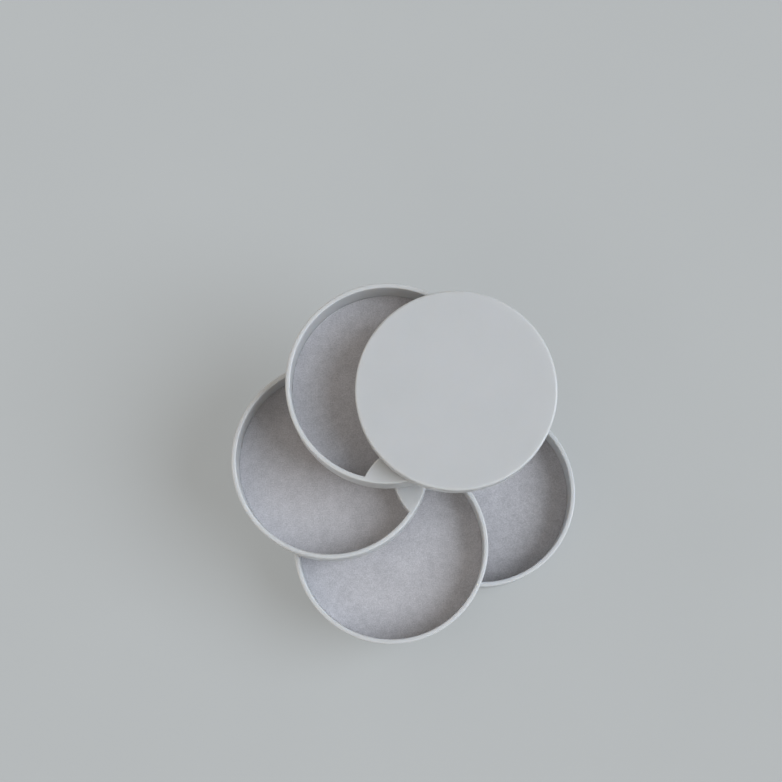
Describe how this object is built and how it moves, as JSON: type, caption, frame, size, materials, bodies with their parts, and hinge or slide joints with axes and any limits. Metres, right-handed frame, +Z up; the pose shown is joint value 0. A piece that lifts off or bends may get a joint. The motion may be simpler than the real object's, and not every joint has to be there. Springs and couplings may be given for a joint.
{
  "type": "jewelry organizer",
  "caption": "Round jewelry organizer: white lidded trays with grey flannel floors, stacked on one upright pin near their rims so that each tray and the lid swivels out to the side.",
  "frame": {"origin": "where the swivel axis meets the table, on the underside of the anti-slip pad", "axes": "+Z up along the swivel axis; +X and +Y are the picture's right and up"},
  "size_m": [0.182, 0.1803, 0.1168],
  "materials": {
    "white_abs": "satin moulded",
    "grey_flannel": "napped flannel",
    "slip_nylon": "plain",
    "zinc_steel": "zinc plated",
    "eva_foam": "closed-cell foam"
  },
  "bodies": {
    "base": {"base_tray": "white_abs", "base_tray_liner": "grey_flannel", "anti_slip_pad": "eva_foam", "third_tray_slip_washer": "slip_nylon", "pivot_bolt": "zinc_steel", "lock_nut": "zinc_steel", "disc_spring": "zinc_steel", "nut_washer": "zinc_steel"},
    "third_tray": {"third_tray": "white_abs", "third_tray_liner": "grey_flannel", "second_tray_slip_washer": "slip_nylon"},
    "second_tray": {"second_tray": "white_abs", "second_tray_liner": "grey_flannel", "top_tray_slip_washer": "slip_nylon"},
    "top_tray": {"top_tray": "white_abs", "top_tray_liner": "grey_flannel", "lid_slip_washer": "slip_nylon"},
    "lid": {"lid_cover": "white_abs", "lid_plate": "white_abs"}
  },
  "joints": [
    {"name": "third_tray_swivel", "type": "hinge", "parent": "base", "child": "third_tray", "pos_m": [0, 0, 0.0268], "axis": [0, 0, 1], "continuous": true},
    {"name": "second_tray_swivel", "type": "hinge", "parent": "base", "child": "second_tray", "pos_m": [0, 0, 0.0528], "axis": [0, 0, 1], "continuous": true},
    {"name": "top_tray_swivel", "type": "hinge", "parent": "base", "child": "top_tray", "pos_m": [0, 0, 0.0788], "axis": [0, 0, 1], "continuous": true},
    {"name": "lid_swivel", "type": "hinge", "parent": "base", "child": "lid", "pos_m": [0, 0, 0.1048], "axis": [0, 0, 1], "continuous": true}
  ]
}
